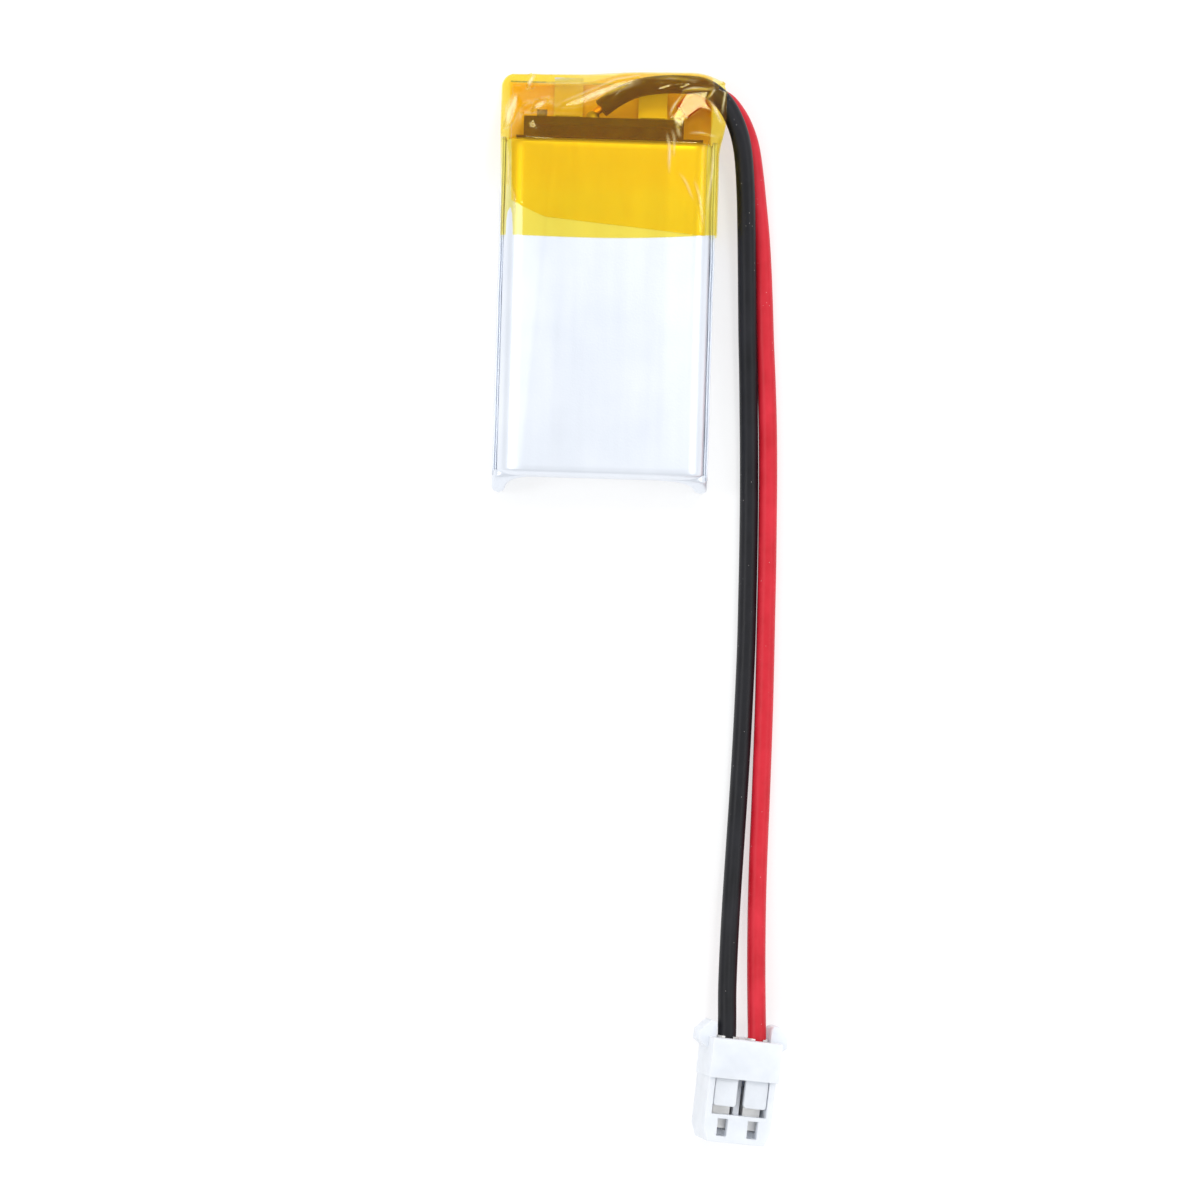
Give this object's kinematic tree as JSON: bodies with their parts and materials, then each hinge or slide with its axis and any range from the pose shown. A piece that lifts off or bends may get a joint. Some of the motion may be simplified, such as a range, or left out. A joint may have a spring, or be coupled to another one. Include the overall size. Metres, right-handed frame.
{
  "type": "lithium polymer battery pack",
  "caption": "Small flat pouch battery with an amber taped head over its protection board, a black and a red soft lead, and a white two-way plug.",
  "frame": {"origin": "centre of the cell's bounding box in plan, on the plane that the tape's back rests on", "axes": "+Y towards the taped head, along the cell; +X towards the side that the leads leave by; +Z through the thickness, from the back to the cup's face"},
  "size_m": [0.0152, 0.0518, 0.0041],
  "materials": {
    "pouch_laminate": "satin matte-coated aluminium laminate",
    "cathode_foil": "black coated foil",
    "anode_foil": "graphite coated copper foil",
    "separator_film": "white porous film",
    "winding_tape": "thin green film",
    "aluminium_tab": "bright rolled strip",
    "nickel": "bright nickel strip",
    "seal_film": "clear polypropylene film",
    "barley_paper": "pale insulating paper",
    "board_resist": "green solder resist",
    "copper_pad": "gold flashed copper",
    "chip_mould": "black moulding compound",
    "tinned": "bright tin plating",
    "ceramic": "fired ceramic",
    "solder": "bright solder",
    "dark_foam": "dark closed-cell foam",
    "polyimide": "clear amber film",
    "black_insulation": "soft satin insulation",
    "red_insulation": "soft satin insulation",
    "strand_copper": "tinned copper strands",
    "white_nylon": "natural white moulded nylon"
  },
  "bodies": {
    "root": {"pouch_cup": "pouch_laminate", "pouch_cover": "pouch_laminate", "cathode_winding": "cathode_foil", "anode_winding": "anode_foil", "separator_inner": "separator_film", "separator_outer": "separator_film", "winding_tape": "winding_tape", "positive_tab": "aluminium_tab", "negative_tab": "nickel", "positive_tab_seal": "seal_film", "negative_tab_seal": "seal_film", "terrace_insulator": "barley_paper", "board_insulator": "barley_paper", "circuit_board": "board_resist", "board_pads": "copper_pad", "protection_chip": "chip_mould", "switch_chip": "chip_mould", "chip_legs": "tinned", "resistors": "chip_mould", "capacitor": "ceramic", "component_caps": "tinned", "positive_strip": "nickel", "negative_strip": "nickel", "solder_joints": "solder", "foam_strip": "dark_foam", "tape_inner": "polyimide", "tape_outer": "polyimide", "lead_black": "black_insulation", "lead_red": "red_insulation", "strands_black": "strand_copper", "strands_red": "strand_copper", "terminal_black": "tinned", "terminal_red": "tinned", "plug_housing": "white_nylon"}
  },
  "joints": []
}
